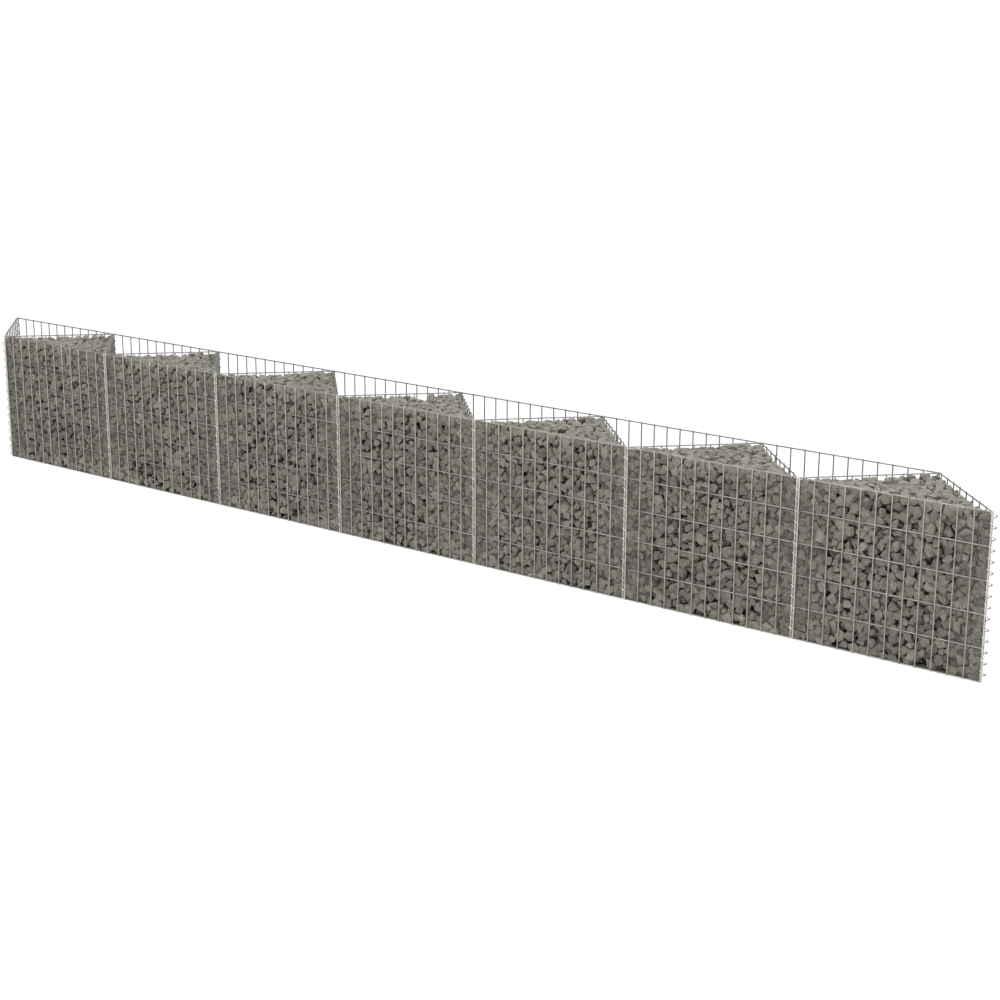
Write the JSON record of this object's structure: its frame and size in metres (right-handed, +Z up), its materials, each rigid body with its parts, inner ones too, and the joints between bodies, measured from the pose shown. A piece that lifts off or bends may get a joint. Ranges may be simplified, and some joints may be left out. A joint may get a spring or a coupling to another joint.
{
  "type": "gabion wall basket",
  "caption": "Long low gabion wall: welded wire mesh panels bound by vertical spirals, zigzag dividers between front and back, stone fill behind the front mesh.",
  "frame": {"origin": "middle of the wall's footprint, on the ground under the bottom wires", "axes": "+X along the wall, left to right seen from the front; the stone-filled front faces -Y; +Z up"},
  "size_m": [4.5974, 0.3306, 0.504],
  "materials": {
    "mesh_wire": "dull hot-dip galvanised wire",
    "spiral_wire": "dull hot-dip galvanised wire, a little brighter",
    "stone": "rough crushed stone, mixed greys and browns"
  },
  "bodies": {
    "root": {"front_panel_1": "mesh_wire", "front_panel_2": "mesh_wire", "front_panel_3": "mesh_wire", "front_panel_4": "mesh_wire", "front_panel_5": "mesh_wire", "front_panel_6": "mesh_wire", "front_panel_7": "mesh_wire", "back_panel_1": "mesh_wire", "back_panel_2": "mesh_wire", "back_panel_3": "mesh_wire", "back_panel_4": "mesh_wire", "back_panel_5": "mesh_wire", "back_panel_6": "mesh_wire", "back_panel_7": "mesh_wire", "left_end_panel": "mesh_wire", "divider_panel_1": "mesh_wire", "divider_panel_2": "mesh_wire", "divider_panel_3": "mesh_wire", "divider_panel_4": "mesh_wire", "divider_panel_5": "mesh_wire", "divider_panel_6": "mesh_wire", "divider_panel_7": "mesh_wire", "divider_panel_8": "mesh_wire", "divider_panel_9": "mesh_wire", "divider_panel_10": "mesh_wire", "divider_panel_11": "mesh_wire", "divider_panel_12": "mesh_wire", "divider_panel_13": "mesh_wire", "right_end_panel": "mesh_wire", "front_spirals": "spiral_wire", "back_spirals": "spiral_wire", "stone_fill_1": "stone", "stone_fill_2": "stone", "stone_fill_3": "stone", "stone_fill_4": "stone", "stone_fill_5": "stone", "stone_fill_6": "stone", "stone_fill_7": "stone"}
  },
  "joints": []
}
